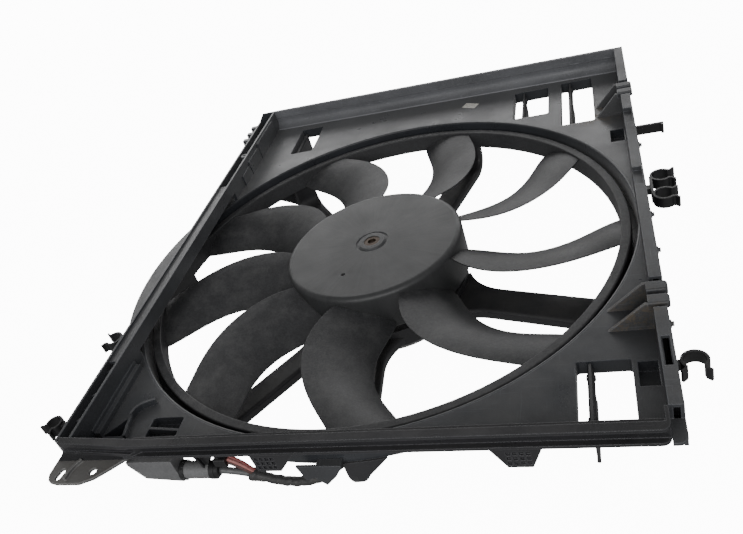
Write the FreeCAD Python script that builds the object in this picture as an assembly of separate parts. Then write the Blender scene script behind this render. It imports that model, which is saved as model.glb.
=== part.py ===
"""Radiator fan shroud with its electric fan, ram-air flaps, hose clips and motor lead.

Millimetres. The origin is on the fan's axis, at the flat rear face of the motor. +Z points
forwards, towards the radiator, +X is the side with the hooks and +Y the side with the label.
"""
import FreeCAD, Part
import math
import os

V = FreeCAD.Vector
X_AXIS = V(1, 0, 0)
Y_AXIS = V(0, 1, 0)
Z_AXIS = V(0, 0, 1)

# Shroud moulding
FACE = 80.0                          # front face of the panel, above the motor's rear face
SHEET = 3.0                          # thickness of the panel
BACK = FACE - SHEET
RIM_TOP = FACE + 24.0                # sealing rim that meets the radiator
LEDGE_TOP = FACE + 12.0              # lower lip of the near wall
WALL = 2.5                           # thickness of walls and skins
LEFT, RIGHT = -227.0, 248.5
NEAR = -263.0
NEAR_LEFT = -212.0                   # left end of the near wall
NEAR_LEFT_IN = -251.0                # its inner face there; the wall runs a little askew
FAR_AT_LEFT, FAR_AT_RIGHT = 327.0, 300.0   # the far side runs a little askew
NEAR_WALL_IN = -256.0                # inner face of the near wall
PANEL_NEAR = -246.0                  # near edge of the flat panel
LIP_START = -150.0                   # the near wall's lower lip starts here
RIGHT_WALL_IN = 239.5                # inner face of the right wall
CHANNEL_IN = -200.0                  # inner face of the left channel
CHANNEL_LOW = FACE + 14.0            # top of the left channel's outer wall
CHANNEL_FLOOR = FACE + 12.0          # floor of the channel where it bridges the fan
COLLAR_R = 239.5                     # opening for the fan
COLLAR_OUT = 242.0
COLLAR_BOTTOM = FACE - 26.0
COLLAR_LIP_R = 229.6                 # lip at the collar's foot, close round the fan's ring
BULGE_R = 258.0                      # round flange that stands out past the left channel
CORNER_R = 6.0
RECESS_DEPTH = 4.0                   # shallow recesses in the top of the right wall
RIGHT_RECESSES = ((116, 146), (4, 32))
RIGHT_GAP = (-211.0, -184.0)         # deep gap in the top of the right wall

# Windows through the panel: x0, x1, y0, y1
NEAR_RIGHT_WINDOW = (185.0, 222.0, -235.0, -179.0)
FAR_INNER_WINDOW = (125.0, 164.0, 215.0, 281.0)
FAR_OUTER_WINDOW = (178.0, 212.0, 180.0, 284.0)
FAR_LEFT_WINDOW = (-158.0, -128.0, 232.0, 297.0)
LATCH_WINDOW = (-151.0, -122.0, -234.0, -213.0)
SKIRT_BOTTOM = FACE - 12.0           # lower edge of the skirt round a window
SKIRT = 2.0
POCKET_DEPTH = 10.0

# Ram-air flaps
FLAP_BAR_X = {"near_right": 194.5, "far_inner": 136.0, "far_outer": 188.0, "far_left": -154.0}
FLAP_WINDOW = {
    "near_right": NEAR_RIGHT_WINDOW,
    "far_inner": FAR_INNER_WINDOW,
    "far_outer": FAR_OUTER_WINDOW,
    "far_left": FAR_LEFT_WINDOW,
}
FLAP_Z = FACE - 8.0                  # height of the hinge bars
FLAP_SHORT = 7.0
FLAP_LONG = 32.0
FLAP_SHEET = 1.8
FLAP_BAR_R = 2.6
KNOB_R = 3.3
PIN_R = 1.8
PIN_CLEARANCE = 0.08
PIN_REACH = 4.5                      # how far a pin stands out past the window's edge
END_GAP = 1.0

# Fan
BLADES = 9
FIRST_BLADE = -83.0
HUB_R = 87.5
HUB_TOP = FACE + 4.5
HUB_BOTTOM = FACE - 35.0
HUB_WALL = 3.0
HUB_EDGE_R = 5.0
BOSS_R = 13.0
RING_IN = 225.5
RING_OUT = 228.0
FLANGE_R = 234.0
FLANGE_TOP = FACE - 6.0
RING_BOTTOM = FACE - 24.5
BLADE_EDGE = 0.6                     # half thickness of a blade at its edges
BLADE_MIDDLE = 1.6                   # half thickness in the middle
BLADE_CAMBER = 4.0
BLADE_BITE = 1.0                     # how far a blade reaches into hub and ring
# Radius, angles of the leading and trailing edge from the blade's own angle, their heights
BLADE_STATIONS = [
    (82.0, -20.0, 13.0, FACE - 2.0, FACE - 31.0),
    (108.0, -24.0, 6.0, FACE - 2.5, FACE - 29.5),
    (138.0, -22.4, 1.4, FACE - 3.5, FACE - 28.0),
    (168.0, -17.6, 2.2, FACE - 4.5, FACE - 26.5),
    (198.0, -11.2, 6.0, FACE - 6.5, FACE - 24.5),
    (229.0, -5.0, 8.8, FACE - 9.0, FACE - 23.0),
]

# Motor
SHAFT_R = 4.0
SHAFT_TOP = FACE + 3.0
SHAFT_BOTTOM = FACE - 52.0
INSERT_R = 8.0
BELL_R = 60.0
BELL_WALL = 2.5
BELL_TOP = HUB_TOP - 3.5
BELL_BOTTOM = FACE - 34.0
MAGNETS = 10
MAGNET_R = 53.5
MAGNET_Z = (FACE - 30.0, FACE - 6.0)
CORE_R = 52.4
CORE_Z = (FACE - 28.0, FACE - 8.0)
TEETH = 12
TUBE_IN = 11.0
TUBE_OUT = 14.0
TUBE_TOP = FACE - 5.0
BASE_Z = (FACE - 44.0, FACE - 38.0)
BASE_R = 72.0
CASE_R = 68.0
CASE_WALL = 3.0
BOARD_Z = (FACE - 57.0, FACE - 55.4)
BEARING_H = 7.0
FRONT_BEARING_Z = FACE - 14.0
REAR_BEARING_Z = FACE - 46.0
MOUNT_IN = 73.0
MOUNT_OUT = 82.0
MOUNT_Z = (FACE - 64.0, FACE - 46.0)
SCREW_ANGLES = (30.0, 150.0, 255.0)

# Stator arms: angle, width
ARMS = [(-18.0, 34.0), (73.5, 28.0), (126.0, 28.0), (175.0, 28.0), (-126.3, 26.0), (-85.3, 12.0)]
ARM_Z = (FACE - 64.0, FACE - 53.0)
ARM_ROUND = 3.5
ARM_FLARE = 20.0                     # how much an arm widens on each side at its root
ARM_FLARE_END = 116.0
ARM_OUT = COLLAR_OUT + 1.5           # outer face of the feet, a little proud of the collar
ARM_BEND_R = 24.0                    # outer radius of the bend from arm to foot
FOOT_IN = 235.0
FOOT_SLOPE = 24.0                    # width of the sloping web beside each foot

# Motor lead: hand-chosen route, from the motor to the plug
LEAD_R = 4.2
LEAD_ROUTE = [
    (7.0, -79.0, 35.0),
    (8.0, -104.0, 35.6),
    (10.5, -131.0, 36.2),
    (14.0, -158.0, 37.0),
    (16.5, -182.0, 38.5),
    (16.0, -204.0, 40.5),
    (12.0, -222.0, 41.0),
    (3.0, -236.0, 38.5),
    (-12.0, -242.5, 35.5),
    (-30.0, -243.0, 33.6),
    (-46.0, -243.0, 36.8),
    (-61.0, -243.0, 43.4),
    (-75.0, -243.0, 47.8),
    (-90.0, -243.0, 49.6),
]
WIRE_R = 1.6
WIRE_STARTS = [(-78.0, -241.0, 63.6), (-78.0, -244.6, 60.8)]
WIRE_BENDS = [(-70.0, -241.3, 59.4), (-70.0, -244.8, 56.4)]
WIRE_ENDS = [(-58.0, -241.6, 48.6), (-58.0, -244.8, 46.4)]
PLUG_Y = -243.0
PLUG_Z = FACE - 29.5
HOUSING_X = (-167.0, -124.0)
PLUG_X = (-120.0, -97.0)
PLUG_DEPTH = 9.0                     # how far the plug reaches into its housing
SEAL_END = -90.0
PLUG_R = 7.0
PLUG_BODY_R = 7.1
WIRE_PLUG_X = (-88.0, -78.0)
WIRE_PLUG_Z = (FACE - 22.0, FACE - 13.5)

# Clips, hooks and lugs
DOUBLE_CLIP_R = 7.6
NEAR_RIGHT_CLIP_R = 7.2
LEFT_MIDDLE_CLIP_R = 7.0
LEFT_NEAR_CLIP_R = 6.0
CLIP_SHEET = 1.9
CLIP_SPREAD = 44.0                   # half the angle of a clip's mouth
HOOK_STATIONS = (194.5, -138.5)      # middles of the two hook pairs on the right wall
HOOK_SPREAD = 7.2
HOOK_WIDTH = 10.4
GUSSET_SPREAD = 11.0
GUSSET_FEET = (25.0, 31.0)
SNAP_PEGS_Y = (206.0, 92.0, -25.0, -74.0, -159.0)
CHANNEL_RIBS_Y = (304, 277, 249, 212, 180, 157, 134, 103, 84, 58, 33, 10, -23, -52, -81, -111,
                  -145, -160, -189, -218, -241)
EAR_OUTLINE = [(-226, -246), (-226.5, -269), (-223, -276), (-214, -278), (-192, -278), (-180, -273),
               (-169, -264), (-158, -254), (-158, -246)]
EAR_SHEET = 2.5
EAR_HOLE = (-184.0, -266.5)
EAR_HOLE_R = 3.3
EAR_SLOT = (-215.0, -269.0)
EAR_SLOT_R = 2.8
EAR_SLOT_LENGTH = 11.5
EAR_SLOT_ANGLE = 78.0


def box(x0, x1, y0, y1, z0, z1):
    return Part.makeBox(x1 - x0, y1 - y0, z1 - z0, V(x0, y0, z0))


def rod(radius, z0, z1, x=0.0, y=0.0):
    return Part.makeCylinder(radius, z1 - z0, V(x, y, z0), Z_AXIS)


def tube(inner, outer, z0, z1, x=0.0, y=0.0):
    return rod(outer, z0, z1, x, y).cut(rod(inner, z0 - 1, z1 + 1, x, y))


def polygon(points):
    return Part.Face(Part.makePolygon(points + points[:1]))


def slab(outline, z0, z1):
    """A flat outline in X and Y, pushed up from z0 to z1."""
    return polygon([V(x, y, z0) for x, y in outline]).extrude(V(0, 0, z1 - z0))


def bar_along_x(outline, x0, x1):
    """An outline in Y and Z, pushed along X."""
    return polygon([V(x0, y, z) for y, z in outline]).extrude(V(x1 - x0, 0, 0))


def bar_along_y(outline, y0, y1):
    """An outline in X and Z, pushed along Y."""
    return polygon([V(x, y0, z) for x, z in outline]).extrude(V(0, y1 - y0, 0))


def lathe(outline):
    """An outline in radius and Z, turned about the fan's axis."""
    return polygon([V(r, 0, z) for r, z in outline]).revolve(V(0, 0, 0), Z_AXIS, 360)


def spun(shape, angle, centre=V(0, 0, 0)):
    turned = shape.copy()
    turned.rotate(centre, Z_AXIS, angle)
    return turned


def moved(shape, x, y, z):
    shifted = shape.copy()
    shifted.translate(V(x, y, z))
    return shifted


def joined(shapes):
    return shapes[0].multiFuse(shapes[1:]).removeSplitter()


def rounded(shape, radius, wanted):
    """Rounds the edges whose middle point passes the test."""
    edges = [edge for edge in shape.Edges if wanted(edge.CenterOfMass, edge)]
    return shape.makeFillet(radius, edges)


def upright(edge):
    first, last = edge.Vertexes[0].Point, edge.Vertexes[-1].Point
    return abs(first.x - last.x) < 0.01 and abs(first.y - last.y) < 0.01 and abs(first.z - last.z) > 0.01


def ribbon(points, width, z0, z1):
    """A rib of even width that follows a line of points in X and Y."""
    left, right = [], []
    for index, (x, y) in enumerate(points):
        before = points[max(index - 1, 0)]
        after = points[min(index + 1, len(points) - 1)]
        heading = math.atan2(after[1] - before[1], after[0] - before[0])
        shift_x, shift_y = -math.sin(heading) * width / 2, math.cos(heading) * width / 2
        left.append((x + shift_x, y + shift_y))
        right.append((x - shift_x, y - shift_y))
    return slab(left + right[::-1], z0, z1)


def save(name, *solids):
    shape = solids[0] if len(solids) == 1 else Part.makeCompound(list(solids))
    shape.exportStep("parts/" + name + ".step")


def far_y(x):
    """The far side's place in Y at a place in X."""
    return FAR_AT_LEFT + (x - LEFT) / (RIGHT - LEFT) * (FAR_AT_RIGHT - FAR_AT_LEFT)


def window_cutter(window):
    x0, x1, y0, y1 = window
    return rounded(box(x0, x1, y0, y1, SKIRT_BOTTOM - 5, RIM_TOP), 2.5, lambda c, e: upright(e))


def window_skirt(window):
    """The skirt that hangs round a window, behind the panel."""
    x0, x1, y0, y1 = window
    outside = (x0 - SKIRT, x1 + SKIRT, y0 - SKIRT, y1 + SKIRT)
    skirt = rounded(box(*outside, SKIRT_BOTTOM, BACK), 4.0, lambda c, e: upright(e))
    return skirt.cut(window_cutter(window))


def blind_pocket(outline, depth):
    """A cup that hangs behind the panel under a cut-out, and the cutter that opens it."""
    low = FACE - depth - SKIRT
    grown = polygon([V(x, y, low) for x, y in outline]).makeOffset2D(SKIRT)
    cup = grown.extrude(V(0, 0, BACK - low))
    cutter = slab(outline, FACE - depth, FACE + 1)
    return cup.cut(cutter), cutter


def panel_face():
    """The flat panel with its fan opening, windows, skirts and blind pockets."""
    corners = [(LEFT, PANEL_NEAR), (RIGHT, PANEL_NEAR), (RIGHT, far_y(RIGHT)), (LEFT, far_y(LEFT))]
    sheet = slab(corners, BACK, FACE)
    bulge = rod(BULGE_R, BACK, FACE).common(box(-BULGE_R - 1, LEFT + 2, -200, 200, BACK, FACE))
    bulge_skirt = tube(BULGE_R - SKIRT, BULGE_R, COLLAR_BOTTOM + 8, BACK)
    bulge_skirt = bulge_skirt.common(box(-BULGE_R - 1, LEFT - 2, -200, 200, COLLAR_BOTTOM, BACK))
    shape = joined([sheet, bulge, bulge_skirt])
    shape = shape.cut(rod(COLLAR_OUT, BACK - 30, FACE + 1))
    pockets = [
        [(225.5, 126), (238.5, 126), (238.5, 150), (225.5, 150)],
        [(225.5, -205), (238.5, -205), (238.5, -182), (225.5, -182)],
        [(-194.5, -231), (-174.5, -231), (-176, -213), (-178.5, -212)],
    ]
    for outline in pockets:
        cup, cutter = blind_pocket(outline, POCKET_DEPTH)
        shape = shape.cut(cutter).fuse(cup)
    for name, window in FLAP_WINDOW.items():
        pin_hole = Part.makeCylinder(PIN_R + PIN_CLEARANCE, window[3] - window[2] + 20,
                                     V(FLAP_BAR_X[name], window[2] - 10, FLAP_Z), Y_AXIS)
        shape = shape.cut(window_cutter(window)).fuse(window_skirt(window)).cut(pin_hole)
    shape = shape.cut(window_cutter(LATCH_WINDOW)).fuse(window_skirt(LATCH_WINDOW))
    x0, x1, y0, y1 = LATCH_WINDOW
    middle_x, middle_y = (x0 + x1) / 2, (y0 + y1) / 2 - 1.5
    bar = box(x0 - 1, x1 + 1, middle_y - 1.2, middle_y + 1.2, FACE - 6, FACE)
    bar = spun(bar, -6.0, V(middle_x, middle_y, 0))
    shelf = box(x0 - 1, x1 + 1, y0 - 1, y1 + 1, FACE - 10, FACE - 8).cut(rod(1.6, 0, FACE, x0 + 4, y1 - 4))
    return joined([shape, shelf, bar])


def collar():
    """The barrel round the fan, with a rounded mouth."""
    barrel = tube(COLLAR_R, COLLAR_OUT, COLLAR_BOTTOM, FACE)
    return rounded(barrel, 1.6, lambda c, e: e.Length < 2 * math.pi * COLLAR_R + 1 and c.z > FACE - 0.1)


def collar_lip():
    """Flat lip inside the foot of the collar, which closes the gap round the fan's ring."""
    return tube(COLLAR_LIP_R, COLLAR_R, COLLAR_BOTTOM, COLLAR_BOTTOM + WALL)


def near_wall():
    """Stepped near wall: riser, lower lip, wall and top flange, with a dark channel between."""
    profile = [
        (PANEL_NEAR, FACE), (PANEL_NEAR + WALL, FACE), (PANEL_NEAR + WALL, LEDGE_TOP),
        (NEAR_WALL_IN, LEDGE_TOP), (NEAR_WALL_IN, RIM_TOP), (NEAR, RIM_TOP), (NEAR, RIM_TOP - WALL),
        (NEAR_WALL_IN - WALL, RIM_TOP - WALL), (NEAR_WALL_IN - WALL, LEDGE_TOP), (NEAR, LEDGE_TOP),
        (NEAR, LEDGE_TOP - WALL), (PANEL_NEAR, LEDGE_TOP - WALL),
    ]
    wall = bar_along_x(profile, LIP_START, RIGHT_WALL_IN)
    wall = rounded(wall, CORNER_R, lambda c, e: upright(e) and c.x > RIGHT_WALL_IN - 1 and c.y < NEAR + 1
                   and c.z > RIM_TOP - WALL)
    band_outline = [(NEAR_LEFT, NEAR_LEFT_IN), (NEAR_LEFT + 2, NEAR_LEFT_IN - 6.5), (LIP_START + 8, NEAR),
                    (LIP_START + 20, NEAR_WALL_IN)]
    band = slab(band_outline, LEDGE_TOP, RIM_TOP)
    band = band.cut(moved(slab(band_outline, LEDGE_TOP + 3, RIM_TOP - 4), 0, -5.3, 0))
    end_web = box(RIGHT_WALL_IN - WALL, RIGHT_WALL_IN, NEAR_WALL_IN, NEAR + 19, LEDGE_TOP - WALL, RIM_TOP)
    riser_end = [(NEAR_LEFT - 13, FACE), (NEAR_LEFT - 1, LEDGE_TOP), (LIP_START, LEDGE_TOP),
                 (LIP_START, FACE)]
    riser = bar_along_y(riser_end, NEAR_LEFT_IN - 4.5, NEAR_LEFT_IN - 2)
    return joined([wall, band, end_web, riser])


def far_wall():
    """Tall far wall with a step along it and a hollow curve down to the panel."""
    curve_r = 10.0
    far = far_y(CHANNEL_IN)
    wall_in = far - WALL
    step = 1.2
    outline = [(far, FACE), (far, RIM_TOP), (wall_in - step, RIM_TOP), (wall_in - step, LEDGE_TOP + 2),
               (wall_in, LEDGE_TOP + 1), (wall_in, FACE + curve_r)]
    points = [V(CHANNEL_IN, y, z) for y, z in outline]
    edges = [Part.makeLine(a, b) for a, b in zip(points, points[1:])]
    sagitta = curve_r * (1 - math.sqrt(0.5))
    middle = V(CHANNEL_IN, wall_in - sagitta, FACE + sagitta)
    foot = V(CHANNEL_IN, wall_in - curve_r, FACE)
    edges.append(Part.Arc(points[-1], middle, foot).toShape())
    edges.append(Part.makeLine(foot, points[0]))
    skew = V(RIGHT_WALL_IN - CHANNEL_IN, far_y(RIGHT_WALL_IN) - far, 0)
    wall = Part.Face(Part.Wire(edges)).extrude(skew)
    tab_y = far_y(-42.0)
    tab_outline = [(-42, tab_y - 2), (-18, tab_y - 2), (-18, tab_y + 6), (-42, tab_y + 7)]
    tab = slab(tab_outline, RIM_TOP - 6, RIM_TOP - 3)
    return joined([wall, tab])


def right_wall():
    """Hollow right wall with shallow recesses and one deep gap in its top, and gaps at the hooks."""
    far = far_y(RIGHT)
    shape = box(RIGHT_WALL_IN, RIGHT, NEAR + 19, far, FACE, RIM_TOP)
    hollow = box(RIGHT_WALL_IN + WALL, RIGHT - WALL, NEAR, far - WALL, FACE - 1, RIM_TOP - WALL)
    shape = shape.cut(hollow)
    floor_top = RIM_TOP - RECESS_DEPTH
    for y0, y1 in RIGHT_RECESSES:
        tray = box(RIGHT_WALL_IN, RIGHT, y0 - WALL, y1 + WALL, floor_top - WALL, RIM_TOP)
        recess = box(RIGHT_WALL_IN - 1, RIGHT - 1.5, y0, y1, floor_top, RIM_TOP + 1)
        shape = shape.fuse(tray).cut(recess)
    shape = shape.cut(box(RIGHT_WALL_IN + 1.5, RIGHT - 2, *RIGHT_GAP, RIM_TOP - WALL - 1, RIM_TOP + 1))
    for middle, low in zip(HOOK_STATIONS, (RIM_TOP - 7, FACE + 8)):
        gap = box(RIGHT_WALL_IN - 1, RIGHT + 1, middle - 16.5, middle + 16.5, low, RIM_TOP + 1)
        shape = shape.cut(gap)
    corner = box(RIGHT_WALL_IN - 7, RIGHT, NEAR, NEAR + 19, LEDGE_TOP - WALL, LEDGE_TOP)
    corner = corner.cut(box(0, RIGHT_WALL_IN, NEAR - 1, NEAR + 30, FACE, RIM_TOP))
    skirt = box(RIGHT - WALL, RIGHT, NEAR + 8, NEAR + 19, FACE, LEDGE_TOP)
    corner = rounded(corner, CORNER_R, lambda c, e: upright(e) and c.x > RIGHT - 1 and c.y < NEAR + 1)
    webs = [box(RIGHT_WALL_IN, RIGHT, y - 1, y + 1, FACE, RIM_TOP - WALL) for y in (260, 160, 60, -50, -230)]
    return joined([shape, corner, skirt] + webs).cut(rod(COLLAR_R, FACE - 1, FACE + 1))


def left_channel():
    """Deep channel along the left side, crossed by sloping ribs; it bridges the fan's edge."""
    over_fan = rod(COLLAR_OUT, BACK - 1, CHANNEL_FLOOR - WALL)
    far = far_y(CHANNEL_IN)
    near = NEAR_LEFT_IN
    inner = box(CHANNEL_IN - WALL, CHANNEL_IN, near, far, FACE, RIM_TOP).cut(over_fan)
    outer = box(LEFT, LEFT + WALL, PANEL_NEAR, far, FACE, CHANNEL_LOW)
    end_outline = [(LEFT, PANEL_NEAR), (NEAR_LEFT, near), (NEAR_LEFT + WALL, near), (LEFT + WALL, PANEL_NEAR)]
    near_end = slab(end_outline, FACE, CHANNEL_LOW)
    floor_outline = [(LEFT, PANEL_NEAR), (NEAR_LEFT, near), (CHANNEL_IN, near), (CHANNEL_IN, PANEL_NEAR)]
    near_floor = slab(floor_outline, FACE, FACE + WALL)
    floor = box(LEFT + 1, CHANNEL_IN - 1, -152, 152, CHANNEL_FLOOR - WALL, CHANNEL_FLOOR)
    ribs = []
    for y in CHANNEL_RIBS_Y:
        outline = [(CHANNEL_IN - 15, CHANNEL_FLOOR - 1), (CHANNEL_IN - 1, CHANNEL_FLOOR - 1),
                   (CHANNEL_IN - 1, RIM_TOP - 2.5)]
        if abs(y) > 152:
            outline[:2] = [(LEFT + 1, FACE + 6), (LEFT + 1, FACE), (CHANNEL_IN - 1, FACE)]
            outline.append((CHANNEL_IN - 15, CHANNEL_FLOOR))
        ribs.append(bar_along_y(outline, y - 1.0, y + 1.0))
    far_outline = [(LEFT, FACE), (CHANNEL_IN, FACE), (CHANNEL_IN, RIM_TOP), (LEFT + 8, RIM_TOP),
                   (LEFT, CHANNEL_LOW)]
    end = bar_along_y(far_outline, far - WALL, far)
    lugs = [box(LEFT - 8, LEFT + 1, y - 3.5, y + 3.5, CHANNEL_LOW - 7, CHANNEL_LOW) for y in (308, 290, 272)]
    pad_places = ((236, 300, RIM_TOP - 3), (196, 234, RIM_TOP - 7), (168, 194, RIM_TOP - 11),
                  (-232, -150, FACE + 9))
    pads = [box(CHANNEL_IN - 1, CHANNEL_IN + 1.5, y0, y1, FACE, top) for y0, y1, top in pad_places]
    pads.append(box(CHANNEL_IN - 1, CHANNEL_IN + 6, -232, -151, FACE, FACE + 5.5))
    socket = tube(1.8, 4.2, LEDGE_TOP - 2, RIM_TOP - 1, CHANNEL_IN - 6, 205)
    return joined([inner, outer, near_end, near_floor, floor, end, socket] + ribs + lugs + pads)


def mounting_ear():
    """Flat bracket at the near left corner with a round hole, a slotted hole and a stiffening rib."""
    plate = slab(EAR_OUTLINE, FACE - EAR_SHEET, FACE)
    plate = rounded(plate, CORNER_R, lambda c, e: upright(e) and c.y < -260)
    rib = ribbon([(-200.3, -255.7), (-203.8, -262), (-205.7, -268), (-206.2, -275)], 2.2, FACE, FACE + 3)
    slot = box(-EAR_SLOT_LENGTH / 2 + EAR_SLOT_R, EAR_SLOT_LENGTH / 2 - EAR_SLOT_R, -EAR_SLOT_R, EAR_SLOT_R,
               FACE - 9, FACE + 9)
    for end in (-1, 1):
        slot = slot.fuse(rod(EAR_SLOT_R, FACE - 9, FACE + 9, end * (EAR_SLOT_LENGTH / 2 - EAR_SLOT_R)))
    slot = moved(spun(slot, EAR_SLOT_ANGLE), *EAR_SLOT, 0)
    return joined([plate, rib]).cut(rod(EAR_HOLE_R, 0, RIM_TOP, *EAR_HOLE)).cut(slot)


def near_tabs():
    """Two tabs that hang under the near lip, each with a block of small cells in its front."""
    tabs = []
    for x0, x1, low0, low1 in ((-42, -6, -41, -22), (131, 165, 141, 157)):
        bottom = FACE - 9.0
        outline = [(x0, LEDGE_TOP - WALL), (x1, LEDGE_TOP - WALL), (low1, bottom), (low0, bottom)]
        tab = bar_along_y(outline, NEAR + 1, NEAR + 5)
        for row in range(3):
            for column in range(4):
                cell_x = (low0 + low1) / 2 - 7.6 + column * 4.2
                cell_z = bottom + 2.5 + row * 4.6
                tab = tab.cut(box(cell_x, cell_x + 2.8, NEAR, NEAR + 2.6, cell_z, cell_z + 3.2))
        tabs.append(tab)
    return tabs


def hook_gussets():
    """Pairs of three-cornered ribs inside the right wall, under and behind the hooks."""
    tongues = hooks()
    gussets = []
    for middle, foot in zip(HOOK_STATIONS, GUSSET_FEET):
        for y in (middle - GUSSET_SPREAD, middle + GUSSET_SPREAD):
            outline = [(RIGHT_WALL_IN - foot, FACE), (RIGHT_WALL_IN, FACE), (RIGHT_WALL_IN, RIM_TOP - 1),
                       (RIGHT_WALL_IN - 5, RIM_TOP - 1)]
            rib = bar_along_y(outline, y - 1.2, y + 1.2)
            gussets.append(rib.cut([rod(COLLAR_R + 4, 0, RIM_TOP)] + tongues).Solids[0])
    return gussets


def hooks():
    """Pairs of tongues in gaps of the right wall, which reach out into the radiator's frame."""
    tongues = []
    low = RIM_TOP - 5.5
    for middle in HOOK_STATIONS:
        for y in (middle - HOOK_SPREAD, middle + HOOK_SPREAD):
            start, end = y - HOOK_WIDTH / 2, y + HOOK_WIDTH / 2
            tongue = box(RIGHT_WALL_IN - 3, RIGHT + 2.5, start, end, low, RIM_TOP)
            tongue = rounded(tongue, 2.6, lambda c, e: c.x > RIGHT + 2.4 and e.BoundBox.YLength < 1)
            tongue = rounded(tongue, 1.6, lambda c, e: c.x > RIGHT and c.z > RIM_TOP - 0.1)
            tongues.append(tongue)
    return tongues


def snap_pegs():
    """Small dome pegs on the outer face of the right wall."""
    pegs = []
    for y in SNAP_PEGS_Y:
        peg = Part.makeCylinder(3.0, 1.5, V(RIGHT, y, RIM_TOP - 13), X_AXIS)
        pegs.append(peg.fuse(Part.makeCylinder(1.8, 1.6, V(RIGHT + 1.5, y, RIM_TOP - 13), X_AXIS)))
    return pegs


def latch_rib():
    """Curved rib that stands on the panel beside the near left pocket, taller on its curve."""
    curve = [(-156, -196.5), (-162, -198), (-168, -201), (-172, -206), (-173, -212)]
    tail = [(-173, -212), (-172, -222), (-169.5, -234)]
    return joined([ribbon(curve, 2.4, FACE, FACE + 6), ribbon(tail, 2.4, FACE, FACE + 4)])


def flap_sockets():
    """Short bearing bushes on the outside of the skirts, at both ends of each hinge bar."""
    bushes = []
    for name, window in FLAP_WINDOW.items():
        bar_x = FLAP_BAR_X[name]
        for start in (window[2] - SKIRT - 3.5, window[3] + SKIRT):
            bush = Part.makeCylinder(PIN_R + 2.0, 3.5, V(bar_x, start, FLAP_Z), Y_AXIS)
            hole = Part.makeCylinder(PIN_R + PIN_CLEARANCE, 8, V(bar_x, start - 2, FLAP_Z), Y_AXIS)
            bushes.append(bush.cut(hole))
    return bushes


def flap(name):
    """A flap hangs open from its hinge bar; both ends of the bar run in the lugs."""
    x0, x1, y0, y1 = FLAP_WINDOW[name]
    bar_x = FLAP_BAR_X[name]
    start, end = y0 + END_GAP, y1 - END_GAP
    short = min(FLAP_SHORT, bar_x - x0 - 2.0)
    half = FLAP_SHEET / 2
    sheet = box(bar_x - half, bar_x + half, start, end, FLAP_Z - FLAP_LONG, FLAP_Z + short)
    bar = Part.makeCylinder(FLAP_BAR_R, end - start, V(bar_x, start, FLAP_Z), Y_AXIS)
    pins = Part.makeCylinder(PIN_R, y1 - y0 + 2 * PIN_REACH, V(bar_x, y0 - PIN_REACH, FLAP_Z), Y_AXIS)
    edge_bead = Part.makeCylinder(1.4, end - start, V(bar_x, start, FLAP_Z - FLAP_LONG), Y_AXIS)
    knobs = [Part.makeCylinder(KNOB_R, 3.0, V(bar_x, y, FLAP_Z), Y_AXIS) for y in (start + 6, end - 9)]
    return joined([sheet, bar, pins, edge_bead] + knobs)


def arm_root(width):
    """The flared root of an arm, along X, with rounded long edges."""
    half, low = width / 2, ARM_Z[0]
    root, neck = MOUNT_OUT - 6, ARM_FLARE_END
    bend = root + (neck - root) * 0.35
    wide, waist = half + ARM_FLARE, half + ARM_FLARE * 0.36
    edges = [
        Part.Arc(V(root, wide, low), V(bend, waist, low), V(neck, half, low)).toShape(),
        Part.makeLine(V(neck, half, low), V(neck, -half, low)),
        Part.Arc(V(neck, -half, low), V(bend, -waist, low), V(root, -wide, low)).toShape(),
        Part.makeLine(V(root, -wide, low), V(root, wide, low)),
    ]
    plate = Part.Face(Part.Wire(edges)).extrude(V(0, 0, ARM_Z[1] - low))
    return rounded(plate, ARM_ROUND, lambda c, e: not upright(e) and 20 < e.BoundBox.XLength < 45)


def quarter_arc(centre_x, centre_z, radius, y):
    """A quarter circle in X and Z that turns from straight down to straight out along X."""
    slant = radius * math.sqrt(0.5)
    return Part.Arc(V(centre_x, y, centre_z - radius), V(centre_x + slant, y, centre_z - slant),
                    V(centre_x + radius, y, centre_z)).toShape()


def arm_bar(width):
    """A bar along X that turns up into a foot on a round bend, with rounded long edges."""
    low, high = ARM_Z
    y, start = -width / 2, ARM_FLARE_END - 2
    centre_x, centre_z = ARM_OUT - ARM_BEND_R, low + ARM_BEND_R
    inner_r = centre_z - high
    edges = [
        Part.makeLine(V(start, y, low), V(centre_x, y, low)),
        quarter_arc(centre_x, centre_z, ARM_BEND_R, y),
        Part.makeLine(V(ARM_OUT, y, centre_z), V(ARM_OUT, y, COLLAR_BOTTOM)),
        Part.makeLine(V(ARM_OUT, y, COLLAR_BOTTOM), V(centre_x + inner_r, y, COLLAR_BOTTOM)),
        Part.makeLine(V(centre_x + inner_r, y, COLLAR_BOTTOM), V(centre_x + inner_r, y, centre_z)),
        quarter_arc(centre_x, centre_z, inner_r, y),
        Part.makeLine(V(centre_x, y, high), V(start, y, high)),
        Part.makeLine(V(start, y, high), V(start, y, low)),
    ]
    bar = Part.Face(Part.Wire(Part.sortEdges(edges)[0])).extrude(V(0, width, 0))
    return rounded(bar, ARM_ROUND, lambda c, e: abs(abs(c.y) - width / 2) < 0.01 and e.BoundBox.YLength < 0.01
                   and c.z < centre_z + 8 and c.x > start + 1)


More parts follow.
